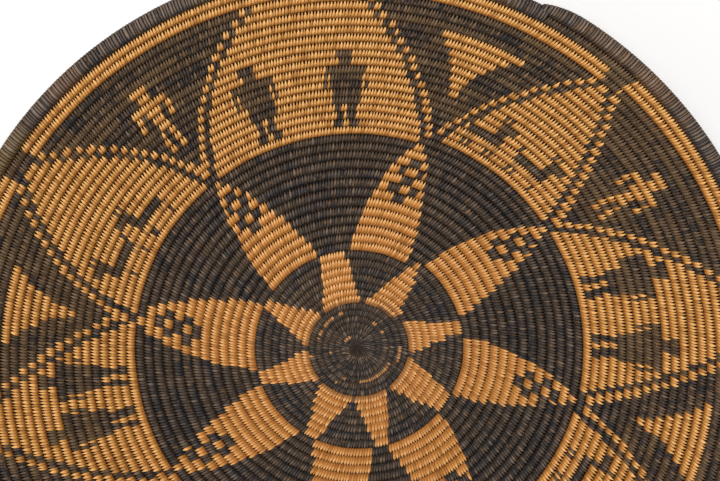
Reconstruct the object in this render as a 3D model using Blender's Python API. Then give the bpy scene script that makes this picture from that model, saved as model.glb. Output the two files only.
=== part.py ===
# Coiled basket tray: one spiral coil of rods and splints, sewn turn to turn.
# Metres, +Z up. The tray stands on z = 0 with its outline centred on the origin.
import math

import bmesh
import bpy
import numpy as np

# Start knot at the middle of the base
KNOT_RADIUS = 0.0040
KNOT_HEIGHT = 0.0040
KNOT_SIDES = 16
KNOT_BEVEL = 0.0008

# The coil: how many turns it makes before the rim, and how thick it is
COIL_TURNS = 46
FIRST_PITCH = 0.00375
WALL_PITCH = 0.0057
FULL_PITCH_TURN = 21
COIL_CLEARANCE = 0.00045
END_GAP = 0.0004
SQUARED_END = 0.0008
END_STATIONS = 2

# Steps in one turn when the profile is summed, and in one straight length when gaps are measured
PROFILE_STEPS = 40
GAP_STEPS = 6

# The profile: a flat base, a rising shoulder, a straight wall and a flared lip
FLAT_TURNS = 20
WALL_TURN = 27
WALL_SLOPE = math.radians(31.0)
FLARE_TURN = 39
LIP_SLOPE = math.radians(29.0)

# The overcast rim, one thicker turn whose tail tapers out
RIM_THICKNESS = 0.0088
TAIL_THICKNESS = 0.0038
TAIL_ANGLE = math.radians(11.0)

# Where every turn starts and ends, counted anticlockwise from +X seen from above
SEAM_ANGLE = math.radians(64.0)

# Faceting: straight lengths in one turn, fewer near the middle
INNER_SEGMENTS = 16
OUTER_SEGMENTS = 32
INNER_TURNS = 12

# A six-sided section lying on one of its flats
FLAT_HALF_HEIGHT = math.cos(math.radians(30.0))

WILLOW = (0.62, 0.35, 0.13)
WILLOW_ROUGHNESS = 0.55
DARK_SPLINT = (0.055, 0.047, 0.042)
DARK_ROUGHNESS = 0.6

# Turns sewn mostly with the dark splint: the start disc, and the outer half of the ring of inner petals
DARK_TURNS = set(range(1, 7)) | set(range(19, 27))


def smooth_step(value):
    """Rise from 0 to 1 with level ends: 3 x^2 - 2 x^3, held at both ends."""
    x = np.clip(value, 0.0, 1.0)
    return x * x * (3.0 - 2.0 * x)


def pitch_at(turn):
    """Distance from one turn to the next, along the wall."""
    return FIRST_PITCH + (WALL_PITCH - FIRST_PITCH) * smooth_step(turn / FULL_PITCH_TURN)


def slope_at(turn):
    """Angle of the wall above the level: flat, then the shoulder, the wall and the lip."""
    shoulder = WALL_SLOPE * smooth_step((turn - FLAT_TURNS) / (WALL_TURN - FLAT_TURNS))
    flare = (LIP_SLOPE - WALL_SLOPE) * smooth_step((turn - FLARE_TURN) / (COIL_TURNS - FLARE_TURN))
    return shoulder + flare


def thickness_at(turn):
    """The coil fills its pitch, less the clearance to the next turn."""
    return pitch_at(turn) - COIL_CLEARANCE


def profile_at(turns):
    """Radius and height of the coil's middle at each turn number, by summing the pitch along the slope."""
    grid = np.linspace(0.0, COIL_TURNS, PROFILE_STEPS * COIL_TURNS + 1)
    out = pitch_at(grid) * np.cos(slope_at(grid))
    up = pitch_at(grid) * np.sin(slope_at(grid))
    step = grid[1] - grid[0]
    first_radius = KNOT_RADIUS + COIL_CLEARANCE + thickness_at(0.0) / 2.0
    radius = first_radius + np.concatenate([[0.0], np.cumsum((out[1:] + out[:-1]) / 2.0 * step)])
    lift = np.concatenate([[0.0], np.cumsum((up[1:] + up[:-1]) / 2.0 * step)])
    height = lift + FLAT_HALF_HEIGHT * thickness_at(grid) / 2.0
    return np.interp(turns, grid, radius), np.interp(turns, grid, height)


def stations(first, last, segments, radius):
    """Turn numbers of a tube's points: even steps, trimmed at both ends, a short stub squaring each end."""
    turns = np.linspace(first, last, segments + 1)
    whole = 2.0 * math.pi * radius
    trim = END_GAP / 2.0 / whole
    stub = trim + SQUARED_END / whole
    ends = [[first + trim, first + stub], turns[1:-1], [last - stub, last - trim]]
    return np.concatenate(ends)


def around(turns, radius, height):
    """Points at each turn number, radius and height."""
    angle = SEAM_ANGLE + 2.0 * math.pi * turns
    return np.stack([radius * np.cos(angle), radius * np.sin(angle), height], axis=1)


def coil_points(number):
    """Points, section radii and slopes of one turn of the coil, numbered from 1 at the knot."""
    segments = INNER_SEGMENTS if number <= INNER_TURNS else OUTER_SEGMENTS
    start_radius = profile_at(number - 1.0)[0]
    turns = stations(number - 1.0, number, segments, start_radius)
    radius, height = profile_at(turns)
    return around(turns, radius, height), thickness_at(turns) / 2.0, slope_at(turns)


def rim_points():
    """Points of the rim, which lies against the last turn and whose tail thins over TAIL_ANGLE."""
    start_radius = profile_at(COIL_TURNS)[0]
    inner_turns = stations(COIL_TURNS - 1.0, COIL_TURNS, OUTER_SEGMENTS, start_radius)
    radius, height = profile_at(inner_turns)
    slope = slope_at(inner_turns)
    to_end = (COIL_TURNS - inner_turns) * 2.0 * math.pi
    tail = smooth_step(to_end / TAIL_ANGLE)
    thickness = TAIL_THICKNESS + (RIM_THICKNESS - TAIL_THICKNESS) * tail
    reach = thickness_at(inner_turns) / 2.0 + COIL_CLEARANCE + thickness / 2.0
    radius = radius + reach * np.cos(slope)
    height = height + reach * np.sin(slope)
    return around(inner_turns, radius, height), thickness / 2.0, slope


def new_material(name, colour, roughness):
    material = bpy.data.materials.new(name)
    material.use_nodes = True
    shader = material.node_tree.nodes["Principled BSDF"]
    shader.inputs["Base Color"].default_value = (*colour, 1.0)
    shader.inputs["Roughness"].default_value = roughness
    shader.inputs["Metallic"].default_value = 0.0
    material.diffuse_color = (*colour, 1.0)
    return material


def new_tube(name, points, radii, slopes, material, collection, parent):
    """A six-sided tube on a POLY spline, its section turned by the slope so that it lies along the wall."""
    curve = bpy.data.curves.new(name, "CURVE")
    curve.dimensions = "3D"
    curve.twist_mode = "Z_UP"
    curve.bevel_depth = 1.0
    curve.bevel_resolution = 1
    curve.use_fill_caps = True
    spline = curve.splines.new("POLY")
    spline.points.add(len(points) - 1)
    for place, point, radius, slope in zip(spline.points, points, radii, slopes):
        place.co = (*point, 1.0)
        place.radius = radius
        place.tilt = -slope
    curve.materials.append(material)
    tube = bpy.data.objects.new(name, curve)
    collection.objects.link(tube)
    tube.parent = parent
    return tube


def new_knot(material, collection, parent):
    """The start knot: a low button, its upper edge rounded."""
    bpy.ops.mesh.primitive_cylinder_add(vertices=KNOT_SIDES, radius=KNOT_RADIUS, depth=KNOT_HEIGHT)
    knot = bpy.context.object
    knot.name = "start_knot"
    knot.data.name = "start_knot"
    shape = bmesh.new()
    shape.from_mesh(knot.data)
    top_edges = [edge for edge in shape.edges if all(vert.co.z > 0.0 for vert in edge.verts)]
    bmesh.ops.bevel(shape, geom=top_edges, offset=KNOT_BEVEL, segments=2, affect="EDGES", profile=0.5)
    shape.to_mesh(knot.data)
    shape.free()
    knot.data.materials.append(material)
    knot.location = (0.0, 0.0, KNOT_HEIGHT / 2.0)
    for owner in list(knot.users_collection):
        owner.objects.unlink(knot)
    collection.objects.link(knot)
    knot.parent = parent
    return knot


def least_gap(first, second):
    """Smallest clear distance between two tubes, from their middle lines cut into short steps."""
    def refine(points, radii):
        place = np.arange(len(points))
        fine = np.linspace(0, len(points) - 1, GAP_STEPS * (len(points) - 1) + 1)
        line = np.stack([np.interp(fine, place, points[:, axis]) for axis in range(3)], axis=1)
        return line, np.interp(fine, place, radii)
    line_a, radius_a = refine(first[0], first[1])
    line_b, radius_b = refine(second[0], second[1])
    distance = np.linalg.norm(line_a[:, None, :] - line_b[None, :, :], axis=2)
    return float((distance - radius_a[:, None] - radius_b[None, :]).min())


def outline_centre(tube):
    """Middle of the finished tube's outline, seen from above."""
    evaluated = tube.evaluated_get(bpy.context.evaluated_depsgraph_get())
    mesh = evaluated.to_mesh()
    places = np.empty(3 * len(mesh.vertices))
    mesh.vertices.foreach_get("co", places)
    evaluated.to_mesh_clear()
    corners = places.reshape(-1, 3)
    return (corners.min(axis=0) + corners.max(axis=0)) / 2.0


def main():
    for old in list(bpy.data.objects):
        bpy.data.objects.remove(old, do_unlink=True)
    tray = bpy.data.collections.new("coiled_basket_tray")
    bpy.context.scene.collection.children.link(tray)
    middle = bpy.data.objects.new("tray_middle", None)
    tray.objects.link(middle)

    willow = new_material("willow_splint", WILLOW, WILLOW_ROUGHNESS)
    dark = new_material("dark_splint", DARK_SPLINT, DARK_ROUGHNESS)

    new_knot(dark, tray, middle)
    routes = []
    for number in range(1, COIL_TURNS + 1):
        route = coil_points(number)
        routes.append(route)
        material = dark if number in DARK_TURNS else willow
        new_tube(f"coil_{number:02d}", *route, material, tray, middle)
    rim_route = rim_points()
    rim = new_tube("rim_coil", *rim_route, dark, tray, middle)

    centre = outline_centre(rim)
    middle.location = (-centre[0], -centre[1], 0.0)

    # A turn also meets the next one end to end, so its last length and the next one's first are left out
    neighbours = list(zip(routes[:-1], routes[1:])) + [(routes[-1], rim_route)]
    side_gaps = []
    for inner, outer in neighbours:
        inside = [values[:-END_STATIONS] for values in inner]
        beside = [values[END_STATIONS:] for values in outer]
        side_gaps.append(least_gap(inside, beside))
    print("least gap between turns, mm:", round(1000.0 * min(side_gaps), 3))
    print("tray middle moved by, mm:", [round(-1000.0 * value, 3) for value in centre[:2]])
    rim_edge = float(np.linalg.norm(rim_route[0][:, :2], axis=1).max()) + RIM_THICKNESS / 2.0
    print("outline about, mm:", round(2000.0 * rim_edge, 1))
    top = float(rim_route[0][:, 2].max()) + RIM_THICKNESS / 2.0
    print("height about, mm:", round(1000.0 * top, 1))


main()
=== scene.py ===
# %% [markdown]
# A coiled basket tray is one long bundle of rods, wound in a spiral from the middle of the base to the
# rim. A flat splint is sewn round the bundle, and every stitch catches the turn before. The packed
# model holds one plain tube for every turn. This file loads those tubes as a fixed frame and dresses
# each of them in its own stitches.

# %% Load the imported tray
import math
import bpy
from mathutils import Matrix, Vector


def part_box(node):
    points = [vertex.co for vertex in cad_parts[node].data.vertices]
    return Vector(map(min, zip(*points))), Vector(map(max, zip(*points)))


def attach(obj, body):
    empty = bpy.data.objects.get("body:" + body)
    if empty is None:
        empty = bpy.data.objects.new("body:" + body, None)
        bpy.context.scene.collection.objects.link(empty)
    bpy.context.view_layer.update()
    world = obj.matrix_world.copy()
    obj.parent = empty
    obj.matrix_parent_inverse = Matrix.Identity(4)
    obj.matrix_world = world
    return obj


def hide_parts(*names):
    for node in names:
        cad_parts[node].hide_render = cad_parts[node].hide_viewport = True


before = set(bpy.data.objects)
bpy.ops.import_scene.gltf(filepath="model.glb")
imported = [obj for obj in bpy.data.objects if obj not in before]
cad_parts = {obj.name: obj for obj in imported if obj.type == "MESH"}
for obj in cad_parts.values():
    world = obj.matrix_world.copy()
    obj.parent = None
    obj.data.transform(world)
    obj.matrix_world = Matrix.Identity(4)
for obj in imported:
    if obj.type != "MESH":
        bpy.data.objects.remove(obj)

from types import SimpleNamespace

import bpy
import numpy as np
from mathutils import Matrix, Vector

scene = bpy.context.scene
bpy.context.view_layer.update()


def in_mm(lengths):
    """Metres as rounded millimetres, for printing."""
    return [round(1000.0 * float(length), 1) for length in lengths]


# %% [markdown]
# The coil follows one spiral. Its pitch, which is the distance from a turn to the next, grows from the
# tight start to the wall. The base is flat, then a shoulder lifts the coil into a straight wall, and the
# lip leans out a little more. A place on the spiral is given by its turn number, so 12.5 is half a turn
# past turn 12. Radius and height are sums of small steps, because the slope changes on the way.

# %% The spiral, in the tray's real sizes
COIL_TURNS = 46
FIRST_PITCH, WALL_PITCH, FULL_PITCH_TURN = 0.00375, 0.0057, 21
COIL_CLEARANCE = 0.00045
KNOT_RADIUS = 0.0040
FLAT_TURNS, WALL_TURN, WALL_SLOPE = 20, 27, math.radians(31.0)
FLARE_TURN, LIP_SLOPE = 39, math.radians(29.0)
FLAT_HALF_HEIGHT = math.cos(math.radians(30.0))
SEAM_BEARING = 64.0
PROFILE_STEPS = 40

knot_low, knot_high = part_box("start_knot")
MIDDLE = (knot_low + knot_high) / 2.0


def ease(value):
    """Rise from 0 to 1 with level ends: 3 x^2 - 2 x^3, held at both ends."""
    x = np.clip(value, 0.0, 1.0)
    return x * x * (3.0 - 2.0 * x)


def pitch_at(turn):
    """Distance from one turn to the next, along the wall: the first pitch, eased to the wall's pitch."""
    return FIRST_PITCH + (WALL_PITCH - FIRST_PITCH) * ease(np.asarray(turn) / FULL_PITCH_TURN)


def slope_at(turn):
    """Angle of the wall above the level: the shoulder rises to the wall, and the lip eases off it."""
    shoulder = WALL_SLOPE * ease((turn - FLAT_TURNS) / (WALL_TURN - FLAT_TURNS))
    return shoulder + (LIP_SLOPE - WALL_SLOPE) * ease((turn - FLARE_TURN) / (COIL_TURNS - FLARE_TURN))


def half_height_at(turn):
    """Half the coil's height, square to the wall. Its thickness is the pitch less the clearance."""
    return FLAT_HALF_HEIGHT * (pitch_at(turn) - COIL_CLEARANCE) / 2.0


def spiral_at(turn):
    """Radius, height and slope at each turn number: the pitch times the cosine and the sine of the slope,
    summed in small steps. Before turn 0 the coil goes on inwards, level."""
    grid = np.linspace(0.0, COIL_TURNS, PROFILE_STEPS * COIL_TURNS + 1)
    pitch, slope, step = pitch_at(grid), slope_at(grid), grid[1] - grid[0]
    out, up = (np.concatenate([[0.0], np.cumsum((parts[1:] + parts[:-1]) / 2.0 * step)])
               for parts in (pitch * np.cos(slope), pitch * np.sin(slope)))
    radius = KNOT_RADIUS + COIL_CLEARANCE + (FIRST_PITCH - COIL_CLEARANCE) / 2.0 + out
    inside = np.minimum(turn, 0.0) * FIRST_PITCH
    height = np.interp(turn, grid, up + half_height_at(grid))
    return np.interp(turn, grid, radius) + inside, height, slope_at(turn)


def bearing_at(turn):
    """Angle of a place on the spiral, anticlockwise from the right, seen from above."""
    return math.radians(SEAM_BEARING) + 2.0 * math.pi * turn


def on_tray(reach, bearing, rise):
    """Points at a distance from the tray's middle, a bearing and a height."""
    return np.stack([MIDDLE.x + reach * np.cos(bearing), MIDDLE.y + reach * np.sin(bearing), rise], axis=-1)


print("radius at turns 6, 13, 26 and 46, mm:", in_mm(spiral_at(np.array([6.0, 13, 26, 46]))[0]))

# %% [markdown]
# A stitch is a flat splint pulled over the coil. It is wide where it comes out of the turn before, and
# squeezed to a point at the outer edge, where the next turn's stitches are pushed in between. So a sewn
# turn is a tube with one low ridge for each stitch, and the ridge leans by most of its own width. Three
# columns of points make a stitch: the valley before it, and the two edges of its ridge.

# %% The grid of one sewn length
AROUND = 12
# Half the coil's width as a share of its pitch
OVERLAP, STAR_OVERLAP, DISC_OVERLAP = 0.56, 0.66, 0.76
# Depth of the valleys between stitches, at a coil of full half height
RELIEF, TIP_RELIEF, FULL_HALF_HEIGHT = 0.00048, 0.00080, 0.0022
LEAN, LEAN_SPREAD, SWELL_SPREAD = 0.75, 0.11, 0.12
WOBBLE = 0.00009
STRAY, STRAY_LIMIT, LEAST_STITCHES = 0.11, 1.8, 8
# Half of a ridge's width as a share of the stitch, at the inner side and at the outer tip
RIDGE = (0.38, 0.22)


def wobble(turn):
    """Small unevenness of a hand-sewn coil: three waves along it, none of which repeats after a turn."""
    angle = 2.0 * math.pi * turn
    waves = 1.1 * np.sin(5.3 * angle + 1.0) + 0.9 * np.sin(12.7 * angle) + 0.7 * np.sin(23.4 * angle + 2.0)
    return WOBBLE * waves * ease((turn - 0.5) / 3.0)


def coil_course(turn):
    """Radius, height, slope, half width and half height of the sewn coil. The half width is a share of the
    pitch, which falls from turn 4.5 to 7.5 at the disc's edge and from turn 10 to 15 at the star's."""
    radius, height, slope = spiral_at(turn)
    share = OVERLAP + (STAR_OVERLAP - OVERLAP) * (1.0 - ease((turn - 10.0) / 5.0))
    share = share + (DISC_OVERLAP - STAR_OVERLAP) * (1.0 - ease((turn - 4.5) / 3.0))
    return radius + wobble(turn), height, slope, share * pitch_at(turn), half_height_at(turn)


def stitch_marks(course, first, last, width, seed, stray=STRAY):
    """Turn numbers where stitches meet: even lengths along the coil, each moved a little at random."""
    fine = np.linspace(first, last, 400)
    radius = course(fine)[0]
    run = np.concatenate([[0.0], np.cumsum((radius[1:] + radius[:-1]) * math.pi * (fine[1] - fine[0]))])
    count = max(LEAST_STITCHES, int(round(run[-1] / width)))
    places = np.arange(count + 1.0)
    draws = np.random.default_rng(seed).standard_normal(count - 1)
    places[1:-1] += stray * draws.clip(-STRAY_LIMIT, STRAY_LIMIT)
    return np.interp(places / count * run[-1], run, fine)


def sewn_grid(course, marks, seed, lean=LEAN, relief=RELIEF, tip_relief=TIP_RELIEF, ridge=RIDGE):
    """Points of a sewn length. A point is the middle line, plus cos(a) of the half width along the wall,
    plus sin(a) of the half height square to it; valleys are pressed in by the relief. Outer points are
    moved back along the coil by the lean, in stitch widths."""
    count = len(marks) - 1
    angle = np.arange(AROUND) * 2.0 * math.pi / AROUND
    outward, upward = np.cos(angle), np.sin(angle)
    width = np.diff(marks)
    centre = (marks[1:] + marks[:-1]) / 2.0
    half = ridge[0] - (ridge[0] - ridge[1]) * ease((outward - 0.10) / 0.80)
    turn = np.empty((3 * count + 1, AROUND))
    turn[0::3] = marks[:, None]
    turn[1::3] = centre[:, None] - width[:, None] * half[None, :]
    turn[2::3] = centre[:, None] + width[:, None] * half[None, :]
    typical = float(np.median(width))
    rng = np.random.default_rng(seed + 1)
    own_lean = lean + LEAN_SPREAD * rng.standard_normal(count + 1).clip(-1.6, 1.6)
    turn -= 0.5 * typical * np.repeat(own_lean, 3)[:-2, None] * outward[None, :]

    swell = 1.0 + SWELL_SPREAD * rng.standard_normal(count).clip(-2.0, 2.0)
    press = np.zeros((3 * count + 1, AROUND))
    press[0::3] = relief + (tip_relief - relief) * ease((outward - 0.2) / 0.8)
    press[1::3] = (relief * 0.5 * (1.0 - swell)).clip(0.0, relief)[:, None]
    press[2::3] = press[1::3]

    radius, height, slope, half_width, half_height = course(turn)
    scale = (half_height / FULL_HALF_HEIGHT).clip(0.3, 1.0)
    along = (half_width - 0.6 * press * scale) * outward[None, :]
    above = (half_height - press * scale) * upward[None, :]
    reach = radius + along * np.cos(slope) - above * np.sin(slope)
    rise = height + along * np.sin(slope) + above * np.cos(slope)
    return on_tray(reach, bearing_at(turn), rise)


test_marks = stitch_marks(coil_course, 30.0, 31.0, 0.0017, 1)
print("stitches on turn 31:", len(test_marks) - 1, "grid:", sewn_grid(coil_course, test_marks, 1).shape)

# %% [markdown]
# The grid becomes a mesh with foreach_set, which hands whole arrays to Blender. The rows of points are
# joined into a tube, and a fan of triangles closes each end, so that no edge is open.

# %% From a grid to a closed tube
def closed_tube(name, points, hubs, smooth_ends=False):
    """A mesh from a grid of rings by points: four neighbours make a face, and each end has a hub."""
    rings, around = points.shape[:2]
    ring, step = np.meshgrid(np.arange(rings - 1), np.arange(around), indexing="ij")
    after = (step + 1) % around
    quads = np.stack([ring, ring + 1, ring + 1, ring], axis=2) * around
    quads = (quads + np.stack([step, step, after, after], axis=2)).reshape(-1, 4)
    here, then = np.arange(around), (np.arange(around) + 1) % around
    last, hub = (rings - 1) * around, rings * around
    start_fan = np.stack([np.full(around, hub), here, then], axis=1)
    end_fan = np.stack([np.full(around, hub + 1), last + then, last + here], axis=1)
    places = np.concatenate([points.reshape(-1, 3), hubs])
    corners = np.concatenate([quads.ravel(), start_fan.ravel(), end_fan.ravel()])
    sizes = np.concatenate([np.full(len(quads), 4), np.full(2 * around, 3)])

    mesh = bpy.data.meshes.new(name)
    mesh.vertices.add(len(places))
    mesh.vertices.foreach_set("co", places.ravel())
    mesh.loops.add(len(corners))
    mesh.loops.foreach_set("vertex_index", corners)
    mesh.polygons.add(len(sizes))
    mesh.polygons.foreach_set("loop_start", np.concatenate([[0], np.cumsum(sizes)[:-1]]))
    mesh.polygons.foreach_set("use_smooth", (sizes == 4) | smooth_ends)
    mesh.update(calc_edges=True)
    mesh.validate()
    return mesh


def write_layers(mesh, maps, numbers, owner):
    """Give a mesh its maps, and give each face the numbers of the stitch that owns it."""
    for title, values in maps.items():
        layer = mesh.uv_layers.new(name=title)
        layer.uv.foreach_set("vector", values.astype(np.float32).ravel())
    for title, values in numbers.items():
        layer = mesh.attributes.new(title, "FLOAT", "FACE")
        layer.data.foreach_set("value", values[owner].astype(np.float32))


def new_piece(mesh, node, material):
    """Put a mesh in the scene as a piece that rides on the tray and stands for one CAD node."""
    piece = bpy.data.objects.new(mesh.name, mesh)
    scene.collection.objects.link(piece)
    mesh.materials.append(material)
    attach(piece, "root")
    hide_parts(node)
    return piece


# %% [markdown]
# Two maps go with each mesh. The map called stitches counts stitches along the coil and runs once round
# the section, so a finish can find each stitch. The other map lays the turn out in rows of stitches, like
# the lines of a page, so that a baked picture gives every stitch the same room. Each face also carries
# numbers, such as how dark its splint is.

# %% The two maps of a sewn turn
# A stitch goes this many times its own width round the coil
STITCH_REACH = 9.7
MARGIN_ALONG, MARGIN_ROUND = 0.02, 0.03
# The valley and the two edges of a ridge, along a stitch
COLUMN_PLACES = np.array([0.0, 0.25, 0.75])


def page_rows(count):
    """Rows on the page that make a stitch about as dense along as around: the root of count over reach."""
    return max(1, int(round(math.sqrt(count / STITCH_REACH))))


def sewn_mesh(name, points, shades):
    """A sewn length as a mesh, with its maps and its numbers. Its hubs are the middles of its ends."""
    mesh = closed_tube(name, points, points[[0, -1]].mean(axis=1))
    columns = points.shape[0]
    count = (columns - 1) // 3
    column, step = np.meshgrid(np.arange(columns - 1), np.arange(AROUND), indexing="ij")
    stitch = column // 3
    past = np.stack([column, column + 1, column + 1, column], axis=2) - 3 * stitch[:, :, None]
    fraction = np.where(past == 3, 1.0, COLUMN_PLACES[past % 3])
    around = np.stack([step, step, step + 1, step + 1], axis=2) / AROUND
    own = np.stack([stitch[:, :, None] + fraction, around], axis=3).reshape(-1, 2)

    rows = page_rows(count)
    per_row = int(math.ceil((count + 1) / rows))
    line, cell = stitch // per_row, stitch % per_row
    page_u = (cell[:, :, None] + MARGIN_ALONG + (1.0 - 2.0 * MARGIN_ALONG) * fraction) / per_row
    page_v = (line[:, :, None] + MARGIN_ROUND + (1.0 - 2.0 * MARGIN_ROUND) * around) / rows
    page = np.stack([page_u, page_v], axis=3).reshape(-1, 2)
    fan = np.tile([[0.5, 0.5], [0.3, 0.3], [0.7, 0.3]], (2 * AROUND, 1))
    fan_page = np.stack([(per_row - 1 + fan[:, 0]) / per_row, (rows - 1 + fan[:, 1]) / rows], axis=1)
    fan_own = np.tile([0.5, 0.25], (6 * AROUND, 1))

    owner = np.concatenate([stitch.ravel(), np.zeros(AROUND, int), np.full(AROUND, count - 1)])
    maps = {"OFBake": np.concatenate([page, fan_page]), "stitches": np.concatenate([own, fan_own])}
    write_layers(mesh, maps, shades, owner)
    return mesh


print("rows on the page of turn 31:", page_rows(len(test_marks) - 1))

# %% [markdown]
# The camera looks down at the tray from about 1.6 m, 14 degrees off the vertical. This was worked out
# from where the rows of the coil lie in the picture, which is 720 pixels wide. A pixel is 0.595 mm of the
# base, which gives the lens. The figures are placed by their bearings in the picture, so a place on the
# tray can be carried into it.

# %% The camera
IMAGE = (720.0, 481.0)
TILT, SIDE, DISTANCE, BASE_SCALE = math.radians(14.0), math.radians(1.2), 1.6, 0.000595
AIM = (356.9, 347.0)
PICTURE_MIDDLE = (358.0, 350.0)
SENSOR = 36.0

focal = DISTANCE / BASE_SCALE
back = Vector((math.sin(SIDE) * math.cos(TILT), math.sin(TILT), math.cos(TILT) * math.cos(SIDE)))
middle = Vector((MIDDLE.x, MIDDLE.y, 0.0))
right = (-back).cross(Vector((0.0, 1.0, 0.0))).normalized()
up = right.cross(-back)
down_by = math.atan(-(AIM[1] - IMAGE[1] / 2.0) / focal)
side_by = math.atan((AIM[0] - IMAGE[0] / 2.0) / focal)
level = -back * math.cos(down_by) - up * math.sin(down_by)
view_up = up * math.cos(down_by) - back * math.sin(down_by)
view_ahead = level * math.cos(side_by) - right * math.sin(side_by)
view_right = right * math.cos(side_by) + level * math.sin(side_by)

camera_data = bpy.data.cameras.new("camera")
camera_data.sensor_width = SENSOR
camera_data.lens = SENSOR * focal / IMAGE[0]
camera_data.dof.use_dof = False
camera = bpy.data.objects.new("camera", camera_data)
turned = Matrix((view_right, view_up, -view_ahead)).transposed().to_4x4()
camera.matrix_world = Matrix.Translation(middle + back * DISTANCE) @ turned
scene.collection.objects.link(camera)
scene.camera = camera
scene.view_settings.view_transform = "Standard"


def seen_bearing(place):
    """Bearing of the top of the coil as the camera sees it, counted about the tray's middle in the
    picture. The point is carried into the camera's axes and divided by its depth."""
    radius, height, slope = spiral_at(place)
    half = half_height_at(place)
    point = on_tray(radius - half * np.sin(slope), bearing_at(place), height + half * np.cos(slope))
    point = point - np.array(camera.matrix_world.translation)
    depth = point @ np.array(view_ahead)
    across = IMAGE[0] / 2.0 + focal * (point @ np.array(view_right)) / depth
    down = IMAGE[1] / 2.0 - focal * (point @ np.array(view_up)) / depth
    return np.degrees(np.arctan2(PICTURE_MIDDLE[1] - down, across - PICTURE_MIDDLE[0])) % 360.0


print("camera at, mm:", in_mm(camera.location), "lens, mm:", round(camera_data.lens, 1))

# %% [markdown]
# The pattern is made by changing the colour of the splint, so it is one question for each stitch: dark or
# light? A stitch is known by its turn and its bearing, which is counted anticlockwise from the right in the
# picture. Figures are counted in rows, as the sewer counts them. A row is a turn of the coil, and it is
# numbered where the figure has its middle, so that nothing jumps at the seam.

# %% Where a stitch lies in a figure
def bearing_past(bearing, centre):
    """Degrees anticlockwise from a figure's middle, from -180 to 180."""
    return (bearing - centre + 180.0) % 360.0 - 180.0


def row_in_figure(place, bearing, centre):
    """Number of the turn at the figure's middle: what the spiral gains from there to here is taken off."""
    there = ((centre - SEAM_BEARING) / 360.0) % 1.0
    return np.round(place - there - bearing_past(bearing, centre) / 360.0).astype(int) + 1


def chart_mark(chart, row, across, cell):
    """How strong the mark under a place is: 1 on #, 0.5 on + and 0 elsewhere. Rows count down from the
    chart's top, and across counts clockwise from its middle, in metres. Cell is a mark's width."""
    wide = max(len(line) for line in chart)
    strength = {"#": 1.0, "+": 0.5, ".": 0.0}
    marks = np.array([[strength[mark] for mark in line.ljust(wide, ".")] for line in chart])
    place = np.floor(across / cell + wide / 2.0).astype(int)
    inside = (place >= 0) & (place < wide) & (row >= 0) & (row < len(chart))
    return inside * marks[np.clip(row, 0, len(chart) - 1), np.clip(place, 0, wide - 1)]


print("turn 12.4 is row", row_in_figure(12.4, SEAM_BEARING, SEAM_BEARING), "of a figure at the seam")

# %% [markdown]
# The middle of the tray is a dark disc with a few light flecks. Round it stands a star with eight light
# points. Their edges are straight, so the half widths grow by the same length from row to row. An entry
# holds the point's bearing, then the half width at the tip and the step per row, left and right, in
# millimetres. A fleck has its turn, the bearings where it starts and ends, and its share of light stitches.

# %% The disc and the star
DISC_END, STAR_END = 5.93, 12.98
STAR_TIP_TURN = 13
STAR_POINTS = (
    (13.0, 3.2, 1.15, 3.6, 1.00), (56.0, 1.5, 1.60, 3.3, 0.95), (105.0, 7.9, 0.90, 7.3, 0.40),
    (152.0, 4.4, 1.20, 1.2, 1.15), (195.4, 5.2, 1.15, 3.3, 0.70), (240.0, 6.0, 1.05, 3.0, 1.10),
    (284.2, 4.8, 1.00, 4.3, 1.00), (329.0, 6.2, 1.05, 7.0, 0.75),
)
DISC_FLECKS = (
    (1, 125.0, 150.0, 0.9), (5, 112.0, 119.0, 1.0), (5, 129.0, 171.0, 0.75), (6, 186.0, 190.0, 0.8),
    (3, 184.0, 191.0, 0.6), (3, 35.0, 42.0, 1.0), (3, 54.0, 61.0, 1.0), (5, 344.0, 366.0, 0.95),
    (4, 274.0, 338.0, 0.85), (4, 240.0, 251.0, 0.6), (5, 233.0, 240.0, 0.7),
)


def star_is_light(place, bearing, radius):
    """Within the half width of a star point, on either side of its middle."""
    light = np.zeros(bearing.shape, bool)
    for centre, left, left_step, right, right_step in STAR_POINTS:
        row = STAR_TIP_TURN - row_in_figure(place, bearing, centre)
        across = 1000.0 * radius * np.radians(bearing_past(bearing, centre))
        light |= (across < left + left_step * row) & (-across < right + right_step * row)
    return light


def disc_is_light(turn, bearing, draw):
    """Flecks: some of the stitches between two bearings on a turn are light."""
    light = np.zeros(bearing.shape, bool)
    for number, start, end, share in DISC_FLECKS:
        inside = ((bearing - start) % 360.0) < (end - start)
        light |= (turn == number) & inside & (draw < share)
    return light


print("star points:", len(STAR_POINTS), "places with flecks:", len(DISC_FLECKS))

# %% [markdown]
# Eight light petals stand between the star's points on a dark ring, each with a small chequer near its
# tip. Their edges step by the same angle in each row. An entry holds the tip's bearing, then the half
# width at the tip and the step per row, left and right, and last the drift of its chequer per row, in
# degrees. A mark of the chequer has its row, and how far from the petal's middle it starts and ends, in
# millimetres.

# %% The ring of inner petals
PETAL_END, PETAL_TIP_TURN = 26.02, 26
INNER_PETALS = (
    (172.4, 2.1, 1.33, 3.1, 1.22, 0.50), (130.2, 0.7, 1.15, 0.9, 1.33, 0.05),
    (73.1, 1.9, 1.60, 2.0, 0.86, 0.57), (33.4, 1.1, 1.42, 0.9, 1.16, 0.57),
    (347.2, 1.1, 1.50, 1.1, 0.98, 0.60), (304.8, 0.2, 1.41, 0.8, 1.40, 0.50),
    (261.5, 0.8, 1.33, 0.8, 1.30, 0.50), (213.2, 1.6, 1.55, 1.6, 1.00, 0.50),
)
CHEQUER = ((2, 0.0, 3.7), (3, 2.9, 7.7), (4, 0.0, 4.1), (5, 2.7, 8.4), (6, 0.0, 3.6))


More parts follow.
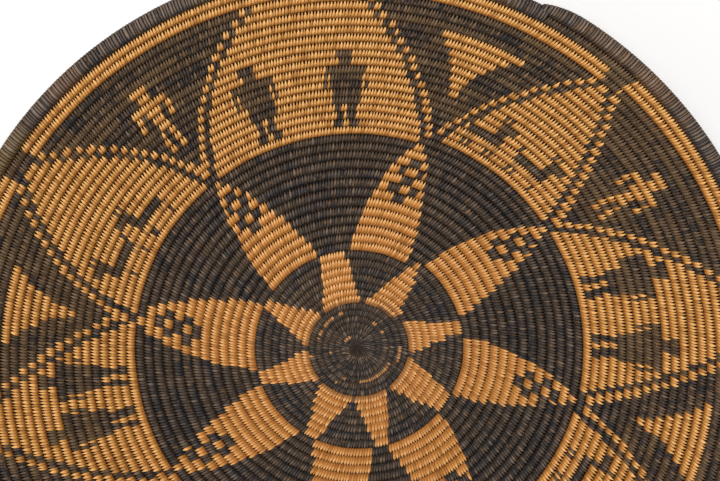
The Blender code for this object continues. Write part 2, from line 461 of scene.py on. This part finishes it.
def petals_are_light(place, bearing, radius):
    """Inside a petal, whose half width is at most 0.9 + 3 degrees per row, and not on its chequer."""
    light = np.zeros(bearing.shape, bool)
    for centre, left, left_step, right, right_step, drift in INNER_PETALS:
        row = PETAL_TIP_TURN - row_in_figure(place, bearing, centre)
        past = bearing_past(bearing, centre)
        most = 0.9 + 3.0 * row
        inside = past < np.minimum(left + left_step * row, most)
        inside &= -past < np.minimum(right + right_step * row, most)
        across = np.abs(1000.0 * radius * np.radians(past + 0.5 - drift * (row - 2.0)))
        for mark_row, near, far in CHEQUER:
            inside &= ~((row == mark_row) & (across >= near) & (across < far))
        light |= inside
    return light


print("inner petals:", len(INNER_PETALS))

# %% [markdown]
# The outer ring has eight large leaves on a dark ground. Each entry holds a leaf's bearing, then its half
# width at the tip, the step per row and how fast the step shrinks, left and right, in degrees. A light
# line of short dashes follows the edge of each leaf, one dash per row. Four leaves hold two people and
# four hold two animals, all dark. Between the leaves stand small light people and light triangles in turn.
# The figures are charts, as a sewer would count them: one mark is one stitch.

# %% The outer leaves, their edges and figures
LEAF_END, BAND_END, LEAF_TIP_TURN = 43.956, 45.9535, 44
OUTER_LEAVES = (
    (151.65, 1.42, 1.40, 0.0222, 1.42, 1.40, 0.0222), (98.0, 9.5, 1.80, 0.0323, 8.5, 1.24, 0.0176),
    (46.9, -0.7, 1.30, 0.0, 0.3, 0.70, 0.0), (6.0, 2.2, 1.35, 0.0, 5.5, 0.64, 0.0),
    (191.8, 0.9, 1.17, 0.0, 1.0, 1.05, 0.0), (237.3, 1.2, 1.55, 0.0150, 1.2, 1.55, 0.0150),
    (283.2, 1.2, 1.40, 0.0150, 1.2, 1.40, 0.0150), (325.8, -1.2, 1.36, 0.0150, 1.2, 1.36, 0.0150),
)
# The dashed line: distance from the leaf, width, rows, and how far it may reach
EDGE_GAP, EDGE_DASH, EDGE_ROWS, EDGE_REACH = 0.0040, 0.0040, 17, 0.12
PERSON = (
    ".....######.....", "......####......", "################", "#.############.#", "#.############.#",
    "...##########...", "...##########...", "....##..###.....", "....##..###.....", "...###..####....",
)
BEAST = (
    "....#.#............", "#######............", "....###...........#", "....##############.",
    "....+..+.......+.+.", ".....#.#.......#.#.",
)
SMALL_PERSON = (
    "....######....", ".....####.....", "##############", "##..######..##", "##...####...##",
    ".....####.....", "....##..##....", "....##..##....", "....##..##....",
)
# The turn of each figure's top row, or a triangle's tip, and the width of a mark
PERSON_TOP, BEAST_TOP, SMALL_TOP, TRIANGLE_TIP = 37, 33, 41, 34
BEAST_CELL, SMALL_CELL = 0.00157, 0.0017
# People: bearing and width of a mark. Animals: bearing, and 1 or -1 for the way they face
PEOPLE = (
    (112.0, 0.0016), (92.6, 0.0016), (14.7, 0.0017), (0.5, 0.0017), (196.0, 0.00145), (186.0, 0.00145),
    (290.3, 0.0016), (276.3, 0.0016),
)
BEASTS = (
    (159.7, 1), (147.9, 1), (58.6, -1), (45.7, -1), (245.0, 1), (231.0, 1), (332.0, 1), (319.2, 1),
)
SMALL_PEOPLE = (130.9, 29.6, 213.2, 304.8)
# Triangles: bearing, and width to the left and to the right
TRIANGLES = ((172.7, 1.0, 1.0), (70.0, 0.8, 1.55), (346.0, 0.85, 1.42), (261.5, 1.0, 1.0))
# Gaps in the light band: bearing and half width, in degrees
BAND_GAP, BAND_SEAM, BAND_SEAM_END = (151.5, 2.2), (46.4, 1.6), 45.0


def dark_figures(place, bearing, radius):
    """How strong the mark of a dark person or animal is at each place."""
    mark = np.zeros(bearing.shape)
    figures = [(PERSON, PERSON_TOP, centre, cell, 1) for centre, cell in PEOPLE]
    figures += [(BEAST, BEAST_TOP, centre, BEAST_CELL, way) for centre, way in BEASTS]
    for chart, top, centre, cell, way in figures:
        row = top - row_in_figure(place, bearing, centre)
        across = -way * np.radians(bearing_past(bearing, centre)) * radius
        mark = np.maximum(mark, chart_mark(chart, row, across, cell))
    return mark


def leaves_are_light(place, bearing, radius):
    """Inside a leaf or on its dashed edge, or on a light figure that stands between the leaves."""
    light = np.zeros(bearing.shape, bool)
    for centre, left, left_step, left_ease, right, right_step, right_ease in OUTER_LEAVES:
        row = LEAF_TIP_TURN - row_in_figure(place, bearing, centre)
        past = np.radians(bearing_past(bearing, centre)) * radius
        to_left = np.radians(left + left_step * row - left_ease * row * row) * radius
        to_right = np.radians(right + right_step * row - right_ease * row * row) * radius
        beyond = np.maximum(past - to_left, -past - to_right)
        dash = (beyond >= EDGE_GAP) & (beyond < EDGE_GAP + EDGE_DASH)
        light |= (beyond < 0.0) | (dash & (row < EDGE_ROWS) & (np.abs(past) < EDGE_REACH))
    for centre in SMALL_PEOPLE:
        row = SMALL_TOP - row_in_figure(place, bearing, centre)
        across = -np.radians(bearing_past(bearing, centre) - 0.08 * (row - 4)) * radius
        light |= chart_mark(SMALL_PERSON, row, across, SMALL_CELL) > 0.0
    for centre, left, right in TRIANGLES:
        above = row_in_figure(place, bearing, centre) - TRIANGLE_TIP
        half = 0.7 + 0.25 * above + 0.08 * above * above
        past = bearing_past(bearing, centre)
        light |= (above >= 0) & (above < 8) & (past < left * half) & (-past < right * half)
    return light


def stitch_is_light(turn, place, bearing, radius, draw):
    """The whole pattern: which ring of the design holds the stitch, and what that ring says."""
    at_gap = np.abs(bearing_past(bearing, BAND_GAP[0])) < BAND_GAP[1]
    at_seam = (np.abs(bearing_past(bearing, BAND_SEAM[0])) < BAND_SEAM[1]) & (place < BAND_SEAM_END)
    rings = [place < end for end in (DISC_END, STAR_END, PETAL_END, LEAF_END, BAND_END)]
    answers = [disc_is_light(turn, bearing, draw), star_is_light(place, bearing, radius),
               petals_are_light(place, bearing, radius), leaves_are_light(place, bearing, radius),
               ~(at_gap | at_seam)]
    return np.select(rings, answers, False)


print("leaves:", len(OUTER_LEAVES), "people:", len(PEOPLE + SMALL_PEOPLE), "animals:", len(BEASTS))

# %% [markdown]
# Shader maths is easier to read as a sum than as a web of nodes. The class below holds one number that
# flows through a material, and each operator on it adds the Math node that does the same. One method of
# the finish makes any other node.

# %% Shader maths as expressions
def operator(operation, swapped=False):
    """A method that adds one Math node. Swapped is for a plain number on the left."""
    def method(self, other):
        return self.finish.maths(operation, *((other, self) if swapped else (self, other)))
    return method


class Flow:
    """A number in a node tree. The operators + - * and ** on it add Math nodes."""

    __add__, __radd__ = operator("ADD"), operator("ADD", swapped=True)
    __sub__, __rsub__ = operator("SUBTRACT"), operator("SUBTRACT", swapped=True)
    __mul__, __rmul__ = operator("MULTIPLY"), operator("MULTIPLY", swapped=True)
    __pow__ = operator("POWER")

    def __init__(self, finish, socket):
        self.finish, self.socket = finish, socket

    def out(self, key):
        """Another output of the same node."""
        return Flow(self.finish, self.socket.node.outputs[key])

    def apply(self, operation):
        """A Math node on this number alone, such as FLOOR."""
        return self.finish.maths(operation, self)

    def rise(self, low, high):
        """0 below low, 1 above high and a smooth rise between them."""
        return self.finish.node("ShaderNodeMapRange", {"interpolation_type": "SMOOTHSTEP"},
                                {"Value": self, "From Min": low, "From Max": high})


class Finish:
    """A material with an empty tree, to which nodes are added by type."""

    def __init__(self, name):
        self.material = bpy.data.materials.new(name)
        self.material.use_nodes = True
        self.tree = self.material.node_tree
        self.tree.nodes.clear()

    def node(self, kind, settings=None, sockets=None):
        """Add a node: its settings first, then a link or a value for each socket. Give its first output."""
        node = self.tree.nodes.new(kind)
        for key, value in (settings or {}).items():
            setattr(node, key, value)
        for key, value in (sockets or {}).items():
            if isinstance(value, Flow):
                self.tree.links.new(value.socket, node.inputs[key])
            else:
                node.inputs[key].default_value = value
        return Flow(self, node.outputs[0] if node.outputs else None)

    def maths(self, operation, *values):
        """A Math node on one number or two."""
        return self.node("ShaderNodeMath", {"operation": operation}, dict(enumerate(values)))

    def number(self, name):
        """A number that the mesh carries on its faces."""
        return self.node("ShaderNodeAttribute", {"attribute_name": name}).out("Fac")

    def noise(self, vector, scale, detail):
        sockets = {"Vector": vector, "Scale": scale, "Detail": detail}
        return self.node("ShaderNodeTexNoise", None, sockets)

    def vector(self, x, y, z):
        return self.node("ShaderNodeCombineXYZ", None, {0: x, 1: y, 2: z})

    def mixed(self, share, first, second, blend="MIX"):
        """A colour between two others. The colour sockets of a Mix node are its seventh and eighth."""
        settings = {"data_type": "RGBA", "blend_type": blend, "clamp_factor": True}
        return self.node("ShaderNodeMix", settings, {0: share, 6: first, 7: second}).out(2)

    def coated(self, colour, coats):
        """A colour with coats laid over it in turn: how much of each one covers, and its colour."""
        for share, coat in coats:
            colour = self.mixed(share, colour, coat)
        return colour


def paint(red, green, blue):
    """A colour read off in screen values from 0 to 255, made linear with the usual curve."""
    screen = np.array([red, green, blue]) / 255.0
    linear = np.where(screen <= 0.04045, screen / 12.92, ((screen + 0.055) / 1.055) ** 2.4)
    return (*[float(value) for value in linear], 1.0)


print("a screen value of 128 is", round(paint(128, 128, 128)[0], 3), "in linear light")

# %% [markdown]
# The sewing splint comes in two kinds: pale willow that has aged to honey brown, and a dark splint that
# runs from blue black to olive brown. Both have fine grain along the stitch. One finish serves both, and
# the number on each face chooses. It starts from where a place lies on its stitch: on the ridge, at its
# sides, or in the gaps, which are deepest at the outer tip.

# %% The parts of a stitch
# Noise in cells per metre: wide drifts, worn patches and single specks
REGION_SCALE, WORN_SCALE, SPECK_SCALE = 26.0, 95.0, 420.0


def stitch_parts(finish, tip_gap, tip_start):
    """What the colours ask of a place. On the stitch map u counts stitches and v runs round the section.
    Side is 0 in the middle of a stitch and 1 at its edges, and outward is the cosine of v. The ridge ends
    at an edge that comes in by tip_gap towards the tip. Past it lies the notch at the tip and the seam
    elsewhere, and crest is high along the ridge."""
    at = SimpleNamespace()
    chart = finish.node("ShaderNodeUVMap", {"uv_map": "stitches"})
    parts = finish.node("ShaderNodeSeparateXYZ", None, {0: chart})
    along, around = parts.out(0), parts.out(1)
    fraction, stitch = along.apply("FRACT"), along.apply("FLOOR")
    at.side = (fraction - 0.5).apply("ABSOLUTE") * 2.0
    at.outward = (around * (2.0 * math.pi)).apply("COSINE")
    at.tip = at.outward.rise(tip_start, 0.95)
    edge = 0.93 - at.tip * tip_gap
    at.ridge = 1.0 - (at.side - edge).rise(-0.26, 0.12)
    # Notch and seam mask the painted shade between stitches, and crest the painted highlight and sheen
    at.notch = (1.0 - at.ridge) * at.tip.rise(0.02, 0.30)
    at.seam = (1.0 - at.ridge) * (1.0 - at.tip)
    at.crest = ((1.0 - at.side * at.side) * at.ridge) ** 1.4

    # The mesh's own numbers. Middle is 1 at the tray's middle, and gives the disc and the inner turns
    at.shade, at.dye, at.middle = finish.number("shade"), finish.number("dye"), finish.number("middle")
    at.disc, at.inner = at.middle.rise(0.76, 0.84), at.middle.rise(0.0, 0.04)
    at.rows_show = 1.0 - at.disc * 0.3
    kind = finish.number("dark")
    at.dark = kind + at.disc * (1.0 - kind) * (1.0 - at.outward.rise(-0.15, 0.25))

    # Grain and blotches belong to the stitch, and the other noises to places on the tray
    strands = finish.vector(fraction * 7.0 + stitch * 3.7, around * 9.0, at.dye * 5.0)
    at.grain = finish.noise(strands, 1.6, 3.0)
    at.blotch = finish.noise(finish.vector(stitch * 0.9, around * 3.0, at.shade * 3.0), 2.2, 2.0)
    at.body = finish.node("ShaderNodeTexCoord").out("Object")
    at.region = finish.noise(at.body, REGION_SCALE, 2.0)
    at.worn = finish.noise(at.body, WORN_SCALE, 3.0)
    at.speck = finish.noise(at.body, SPECK_SCALE, 2.0)
    return at


# %% [markdown]
# Each colour is a base with coats over it. Willow has painted shade where it comes out of the turn before and
# at its sides, and a painted highlight on the ridges. The dark splint fades to brown, wears in patches and
# specks, and has a painted grey sheen. Painted shade lies in its gaps and in the furrows and gutters between
# the close rows of the disc and of the inner ring. The rim drifts between red brown, blue black and olive.

# %% The coats of the light and the dark splint
# Willow, deep willow (darker parts, painted shade) and highlight willow, each on the outer turns and at the
# middle
WILLOWS = ((198, 133, 63), (200, 133, 69)), ((104, 56, 16), (122, 66, 24)), ((246, 188, 116), (244, 182, 120))
PATCH_EDGE = 0.010


def light_colour(finish, at):
    """Willow, deeper in parts, then painted shade by the row before, a painted highlight, grain and painted
    shade at the sides.
    """
    willow, deep, highlight_colour = (finish.mixed(at.middle, paint(*outer), paint(*inner)) for outer, inner in WILLOWS)
    painted_highlight = at.crest * at.outward.rise(-0.45, 0.50)
    return finish.coated(willow, [
        # Painted shade on the inner side of each row, next to the row before
        ((1.0 - at.outward.rise(-1.05, -0.05)) * (0.72 - at.inner * 0.34), deep),
        ((0.5 - at.shade).rise(0.0, 0.6) * 0.45, deep),
        ((at.region - 0.50).rise(0.0, 0.25) * 0.22, deep),
        # Painted highlight on the outer half of each ridge
        (painted_highlight * (0.34 + at.shade * 0.95), highlight_colour),
        ((at.grain - 0.48) * 1.4, deep),
        # Painted shade in the gaps at the sides of each stitch
        (at.side.rise(0.45, 1.0) * (0.62 - at.inner * 0.16 + at.tip * 0.34), paint(70, 32, 6)),
    ])


def rim_coats(finish, at, patches):
    """Red brown, blue black and olive lengths, then the patches, each as far as its reach."""
    drift, olive = finish.noise(at.body, 19.0, 1.0), finish.noise(at.body, 11.0, 1.0)
    coats = [
        ((drift - 0.53).rise(0.00, 0.10) * 0.75, paint(92, 70, 58)),
        ((0.53 - drift).rise(0.00, 0.10) * 0.80, paint(53, 53, 57)),
        ((olive - 0.54).rise(0.00, 0.08) * 0.70, paint(98, 84, 52)),
    ]
    for place, reach, tint in patches:
        ends = {0: at.body, 1: place}
        away = finish.node("ShaderNodeVectorMath", {"operation": "DISTANCE"}, ends).out("Value")
        coats.append(((reach - away).rise(0.0, PATCH_EDGE) * 0.80, paint(*tint)))
    return coats


def dark_colour(finish, at, patches):
    """Blue black to soot, with browns by dye and wear and more black on the right. Over these come the
    rim's coats, the brown of the figures, whose dye is above 1, the painted sheen, specks, grain and painted
    shade."""
    spot = finish.node("ShaderNodeSeparateXYZ", None, {0: at.body})
    on_right = (spot.out(0) * 0.85 - spot.out(1) * 0.50).rise(-0.06, 0.11)
    faded = (at.dye * 0.5 + at.region * 0.9 - 0.42).rise(0.15, 0.50) * (1.0 - at.inner * 0.75)
    # Painted sheen along the outer half of each crest, and over the disc
    sheen = at.crest * (at.outward.rise(-0.75, 0.25) * at.rows_show + at.disc * 0.4)
    edge = at.outward.apply("ABSOLUTE")
    coats = [
        (faded, paint(86, 68, 50)),
        ((at.worn - 0.50).rise(0.02, 0.20) * (0.42 - at.inner * 0.22), paint(112, 91, 66)),
        (at.dye.rise(0.74, 0.92) * (1.0 - at.inner) * 0.32, paint(122, 98, 70)),
        (on_right * at.inner * (1.0 - at.disc) * 0.42, paint(38, 42, 45)),
    ]
    if patches:
        coats += rim_coats(finish, at, patches)
        # Painted sheen, narrower, on the rim's ribs
        shine = (sheen * sheen * (0.06 + at.shade * 0.80), paint(152, 132, 116))
    else:
        tint = finish.mixed(at.inner, paint(137, 112, 87), paint(131, 112, 96))
        shine = (sheen * (0.06 + at.inner * 0.02 + at.shade * at.shade * 0.78), tint)
    coats += [
        (at.dye.rise(1.0, 1.4) * 0.7, paint(106, 84, 56)),
        shine,
        ((at.blotch - 0.58) * 3.0 * at.rows_show, paint(140, 106, 66)),
        ((at.speck - 0.57).rise(0.0, 0.12) * (0.52 - at.inner * 0.24), paint(146, 107, 68)),
        ((at.grain - 0.48) * (2.0 + at.disc * 2.0), paint(26, 22, 19)),
        # Painted shade in the furrows between the disc's rows and in the gutters between the inner ring's
        # rows
        (edge.rise(0.30, 0.68) * at.disc * (0.50 - at.middle.rise(0.86, 0.90) * 0.34), paint(24, 20, 16)),
        (edge.rise(0.44, 0.78) * at.inner * (1.0 - at.disc) * 0.24, paint(14, 12, 10)),
        # Painted shade in the gaps at the sides of each stitch
        (at.side.rise(0.35, 0.95) * (0.70 + at.inner * 0.08 + at.disc * 0.20), paint(16, 11, 7)),
    ]
    return finish.coated(finish.mixed(at.dye.rise(0.15, 0.50), paint(41, 43, 47), paint(60, 53, 48)), coats)


# %% [markdown]
# Both colours join in one finish. Painted shade darkens the seams and notches where a stitch dives between
# its neighbours, and the same parts shape the roughness and the bump, so that the light agrees with the
# colour.

# %% The finish of the sewn splints
# Painted shade in the seams between stitches and in the notches at their tips
SEAM_SHADE, NOTCH_SHADE = (0.32, 0.24, 0.18, 1.0), paint(20, 8, 2)
BUMP_STRENGTH, BUMP_DEPTH, SPECULAR = 0.55, 0.0004, 0.10


def splint_finish(name, tip_gap, tip_start, patches=()):
    """Colour, roughness and bump of a sewn length. The number on the face chooses light or dark, and the
    seams and notches get painted shade. With patches, each a place, a reach and a tint, it is the rim's."""
    finish = Finish(name)
    at = stitch_parts(finish, tip_gap, tip_start)
    colour = finish.mixed(at.dark, light_colour(finish, at), dark_colour(finish, at, patches))
    # Painted shade in the seams and the notches
    seam = finish.mixed(1.0, colour, SEAM_SHADE, "MULTIPLY")
    colour = finish.coated(colour, [(at.seam * 0.35, seam), (at.notch * 0.98 * at.rows_show, NOTCH_SHADE)])
    roughness = 0.42 + at.dark * 0.06 + at.grain * 0.16 + at.notch * 0.3
    height = at.ridge * 0.5 + (1.0 - at.side * at.side) * 0.35 + at.grain * 0.12
    relief = {"Strength": BUMP_STRENGTH, "Distance": BUMP_DEPTH, "Height": height}
    bump = finish.node("ShaderNodeBump", None, relief)
    shader = finish.node("ShaderNodeBsdfPrincipled", None, {
        "Base Color": colour, "Roughness": roughness, "Normal": bump, "Metallic": 0.0,
        "Specular IOR Level": SPECULAR})
    finish.node("ShaderNodeOutputMaterial", None, {0: shader})
    return finish.material


coil_finish = splint_finish("sewn_splint", 0.48, 0.20)
print("nodes in the splint finish:", len(coil_finish.node_tree.nodes))

# %% [markdown]
# Now the turns are sewn. Stitches are finer near the middle, because the coil is thinner there. Their
# shades are drawn from seeded random numbers. The dye goes by splint, and one splint gives some twenty
# stitches before the next begins.

# %% Sew all the turns
DISC_STITCH, STAR_STITCH, WALL_STITCH = 0.00124, 0.00165, 0.0018
DISC_TURNS, DISC_STRAY, DISC_RADIUS, MIDDLE_RADIUS = 6, 0.28, 0.028, 0.16
FLECK_STRENGTH = 0.6
# Each turn adds its number to the first four seeds
MARK_SEED, FLECK_SEED, SHADE_SEED, GRID_SEED, RIM_SEED, KNOT_SEED = 100, 300, 500, 700, 900, 40


def stitch_width(turn):
    """Width of a stitch, which grows from turn 4.5 to 7 and from turn 16 to 22."""
    star, wall = (float(ease((turn - first) / turns)) for first, turns in ((4.5, 2.5), (16.0, 6.0)))
    return DISC_STITCH + (STAR_STITCH - DISC_STITCH) * star + (WALL_STITCH - STAR_STITCH) * wall


def splint_runs(count, seed):
    """One number per splint, repeated for the 8 to 29 stitches that it lasts, plus a little noise."""
    rng = np.random.default_rng(seed)
    ends = np.cumsum(rng.integers(8, 30, count // 8 + 2))
    splint = rng.random(len(ends))[np.searchsorted(ends, np.arange(count), side="right")]
    return np.clip(splint + 0.10 * rng.standard_normal(count), 0.0, 1.0)


def shades_of(light, radius, seed):
    """The numbers that each stitch carries: its kind, its shade, its dye, and how near the middle it is.
    Light flecks on the disc are half hidden by their dark neighbours."""
    count = len(light)
    shade = np.clip(0.5 + 0.28 * np.random.default_rng(seed + 7).standard_normal(count), 0.0, 1.0)
    middle = np.full(count, float(np.clip(1.0 - radius / MIDDLE_RADIUS, 0.0, 1.0)))
    strength = FLECK_STRENGTH if radius < DISC_RADIUS else 1.0
    dye = splint_runs(count, seed + 9)
    return {"dark": 1.0 - strength * light, "shade": shade, "dye": dye, "middle": middle}


def sew_turn(number):
    """Sew one turn of the coil, and count its stitches and triangles."""
    stray = DISC_STRAY if number <= DISC_TURNS else STRAY
    width, end = stitch_width(number), float(number)
    marks = stitch_marks(coil_course, end - 1.0, end, width, MARK_SEED + number, stray)
    place = (marks[1:] + marks[:-1]) / 2.0
    bearing, radius = seen_bearing(place), spiral_at(place)[0]
    draw = np.random.default_rng(FLECK_SEED + number).random(len(place))
    light = stitch_is_light(number, place, bearing, radius, draw)
    shades = shades_of(light, float(spiral_at(end)[0]), SHADE_SEED + number)
    figure = dark_figures(place, bearing, radius)
    shades["dark"] = np.maximum(shades["dark"], figure)
    shades["dye"] = np.where(figure > 0.0, 0.30 + shades["dye"] * 0.9, shades["dye"])
    mesh = sewn_mesh(f"sewn_turn_{number:02d}", sewn_grid(coil_course, marks, GRID_SEED + number), shades)
    new_piece(mesh, f"coil_{number:02d}", coil_finish)
    return len(place), len(mesh.loops) - 2 * len(mesh.polygons)


sewn = np.array([sew_turn(number) for number in range(1, COIL_TURNS + 1)])
print("stitches:", sewn[:, 0].sum(), "triangles:", sewn[:, 1].sum())

# %% [markdown]
# The tray starts as a small knot of splints, curled so tight that no coil can be told apart at its
# middle. It fills the spiral hole inside the first turn. A polar grid makes it: each point has a bearing
# and a share of the way out, and the height follows the ridges of a coil that goes on inwards.

# %% The start knot
KNOT_RIBS, KNOT_RINGS = 30, 14
RIB_PRESS, RIB_CURL = 0.00030, 0.5
KNOT_FLECKS, KNOT_PAGE = 0.22, 0.040


def knot_points():
    """The knot from its middle out over the top and back under, and its two hubs. Its edge is the first
    turn's inner edge. The half height is a share of the coil's, more on the ridges, which are the root of
    1 - x^2 across, and less between the ribs."""
    columns = 3 * KNOT_RIBS
    share = np.linspace(0.04, 1.0, KNOT_RINGS)[:, None]
    turn = (np.arange(columns) / columns)[None, :]
    radius, height, slope, half_width, half_height = coil_course(turn)
    step_back = (1.0 - ease(turn / 0.06)) * FIRST_PITCH
    reach = share * (radius - 0.35 * half_width + step_back)
    steps_in = (radius - reach) / pitch_at(turn)
    ridge = np.sqrt(np.clip(1.0 - (2.0 * ((steps_in + 0.5) % 1.0) - 1.0) ** 2, 0.0, 1.0))
    rib = np.abs(((turn * KNOT_RIBS) % 1.0) - 0.5) * 2.0
    body = half_height * (0.72 + 0.20 * ridge * share + 0.05 * (1.0 - share))
    body = body - RIB_PRESS * rib ** 2 * ease(share * 2.0)
    bearing = bearing_at(turn) - RIB_CURL * (share - 0.5)
    level, hub_rise = height.mean(), float(body[0].mean())
    top, under = on_tray(reach, bearing, level + body), on_tray(reach, bearing, level - body)
    hubs = on_tray(np.zeros(2), 0.0, level + hub_rise * np.array([1.0, -1.0]))
    return np.concatenate([top, under[::-1]]), hubs


def knot_mesh():
    """The knot as a mesh. Its stitch map counts ribs. The top and the underside lie side by side on its
    page, where both hubs count with the underside."""
    points, hubs = knot_points()
    rings, columns = points.shape[:2]
    mesh = closed_tube("sewn_start", points, hubs, smooth_ends=True)
    corners = np.empty(len(mesh.loops), int)
    starts, sizes = np.empty(len(mesh.polygons), int), np.empty(len(mesh.polygons), int)
    mesh.loops.foreach_get("vertex_index", corners)
    mesh.polygons.foreach_get("loop_start", starts)
    mesh.polygons.foreach_get("loop_total", sizes)

    ring = np.minimum(corners // columns, rings - 1)
    way_out = np.where(ring < KNOT_RINGS, ring, rings - 1 - ring) / (KNOT_RINGS - 1.0)
    way_out[corners >= rings * columns] = 0.0
    under_side = ring >= KNOT_RINGS
    rib = (corners % columns) / 3.0
    crosses = (rib[np.repeat(starts, sizes)] > KNOT_RIBS - 2.0) & (rib < 2.0)
    rib = rib + KNOT_RIBS * crosses
    around = np.where(under_side, 0.5 + 0.3 * way_out, 0.5 - 0.3 * way_out)
    places = np.concatenate([points.reshape(-1, 3), hubs])[corners]
    page = 0.5 + np.stack([places[:, 0] - MIDDLE.x, places[:, 1] - MIDDLE.y], axis=1) / KNOT_PAGE
    page[:, 0] = page[:, 0] * 0.5 + 0.5 * under_side

    owner = rib[starts].astype(int) % KNOT_RIBS
    rng = np.random.default_rng(KNOT_SEED)
    kinds = {"dark": 1.0 - (rng.random(KNOT_RIBS) < KNOT_FLECKS), "shade": rng.random(KNOT_RIBS),
             "dye": rng.random(KNOT_RIBS), "middle": np.ones(KNOT_RIBS)}
    maps = {"OFBake": page, "stitches": np.stack([rib, around], axis=1)}
    write_layers(mesh, maps, kinds, owner)
    return mesh


knot = new_piece(knot_mesh(), "start_knot", coil_finish)
print("faces in the start knot:", len(knot.data.polygons))

# %% [markdown]
# The rim is the last turn, thicker than the rest and overcast with stitches that lie close together. It
# begins a little early, so that it covers the end of turn 46, and it ends there too, in a short blunt
# tail. The same grid makes it, with its own course and its own finish.

# %% The overcast rim
RIM_THICKNESS, TAIL_THICKNESS, TAIL_ANGLE, TAIL_ROUND = 0.0088, 0.0038, math.radians(6.0), 0.35
# The rim begins this share of a turn early
RIM_COVER = 0.0035
RIM_STRAY, RIM_LEAN, RIM_RELIEF, RIM_RIDGE = 0.20, 0.5, 0.00055, (0.32, 0.32)
# Patches of olive, red brown, brown and blue black: bearing in the picture, reach in metres, and tint
RIM_PATCHES = (
    (153.0, 0.030, (108, 88, 48)), (138.0, 0.016, (104, 74, 60)),
    (42.0, 0.018, (106, 78, 58)), (27.0, 0.036, (54, 54, 58)),
)


def rim_course(turn):
    """The rim lies outside turn 46: its middle is half of each thickness and the clearance further along
    the wall. Its tail is blunt: the share of the tail's angle is eased, then raised to a small power."""
    radius, height, slope = spiral_at(turn)
    tail = ease((COIL_TURNS - turn) * 2.0 * math.pi / TAIL_ANGLE) ** TAIL_ROUND
    thickness = TAIL_THICKNESS + (RIM_THICKNESS - TAIL_THICKNESS) * tail
    half = thickness / 2.0
    reach = (pitch_at(turn) - COIL_CLEARANCE) / 2.0 + COIL_CLEARANCE + half
    radius, height = radius + reach * np.cos(slope), height + reach * np.sin(slope)
    return radius, height, slope, half + 0.0003, half * 0.96


def rim_place(bearing):
    """The point of the rim that is seen at a bearing: the nearest of places a tenth of a degree apart."""
    turns = np.linspace(COIL_TURNS - 1.0, COIL_TURNS, 3601)
    nearest = int(np.abs(bearing_past(seen_bearing(turns), bearing)).argmin())
    radius, height = (values[nearest] for values in rim_course(turns)[:2])
    return on_tray(radius, bearing_at(turns[nearest]), height).tolist()


patches = [(rim_place(bearing), reach, tint) for bearing, reach, tint in RIM_PATCHES]
print("rim patches at, mm:", [in_mm(place) for place, reach, tint in patches])
rim_end = float(COIL_TURNS)
rim_marks = stitch_marks(rim_course, rim_end - 1.0 - RIM_COVER, rim_end, WALL_STITCH, RIM_SEED, RIM_STRAY)
rim_grid = sewn_grid(rim_course, rim_marks, RIM_SEED + 1, RIM_LEAN, RIM_RELIEF, RIM_RELIEF, RIM_RIDGE)
rim_count = len(rim_marks) - 1
rim_shades = shades_of(np.zeros(rim_count, bool), float(spiral_at(rim_end)[0]), RIM_SEED + 2)
rim_finish = splint_finish("overcast_rim", 0.10, 0.3, patches)
new_piece(sewn_mesh("sewn_rim", rim_grid, rim_shades), "rim_coil", rim_finish)
print("rim stitches:", rim_count)

# %% [markdown]
# The tray stands on a plain pale floor under soft light. A wide lamp overhead gives the long soft
# highlights on the stitches, and the world fills the shadows. Their levels add up to about one on a level
# surface, so that a colour renders as it is written. The floor glows a little for the camera alone.

# %% Floor and lights
FLOOR_DROP, FLOOR_GLOW = 0.0004, 0.14
FLOOR_PAINT, WHITE = (0.93, 0.93, 0.93, 1.0), (1.0, 1.0, 1.0, 1.0)
# Each lamp: its name, its place, its side in metres and its power in watts
LAMPS = (("softbox_over", (0.1, 0.7, 2.0), 0.7, 33.0), ("softbox_side", (-1.6, -0.4, 1.6), 0.6, 14.0))
WORLD_LEVEL = 0.22

floor_finish = Finish("pale_floor")
floor_shader = floor_finish.node("ShaderNodeBsdfPrincipled", None, {
    "Base Color": FLOOR_PAINT, "Roughness": 0.9, "Specular IOR Level": 0.0})
seen = floor_finish.node("ShaderNodeLightPath").out("Is Camera Ray")
glow = floor_finish.node("ShaderNodeEmission", None, {"Color": WHITE, "Strength": seen * FLOOR_GLOW})
both = floor_finish.node("ShaderNodeAddShader", None, {0: floor_shader, 1: glow})
floor_finish.node("ShaderNodeOutputMaterial", None, {0: both})
floor_mesh = bpy.data.meshes.new("floor")
floor_mesh.from_pydata([(-4, -4, 0), (4, -4, 0), (4, 4, 0), (-4, 4, 0)], [], [(0, 1, 2, 3)])
floor = bpy.data.objects.new("floor", floor_mesh)
floor_mesh.materials.append(floor_finish.material)
floor.location.z = -FLOOR_DROP
scene.collection.objects.link(floor)


def new_softbox(name, place, size, power):
    """A square lamp at a place, turned to face the tray. On the tray it gives power / (pi^2 distance^2)."""
    lamp = bpy.data.lights.new(name, "AREA")
    lamp.shape, lamp.size, lamp.energy = "SQUARE", size, power
    holder = bpy.data.objects.new(name, lamp)
    holder.location = place
    holder.rotation_euler = (-Vector(place)).to_track_quat("-Z", "Y").to_euler()
    scene.collection.objects.link(holder)
    print(name, "gives", round(power / (math.pi ** 2 * Vector(place).length_squared), 2))


for lamp in LAMPS:
    new_softbox(*lamp)
world = bpy.data.worlds.new("studio")
scene.world = world
world.use_nodes = True
background = world.node_tree.nodes["Background"]
background.inputs[0].default_value, background.inputs[1].default_value = WHITE, WORLD_LEVEL

# %% The end
bpy.context.view_layer.update()
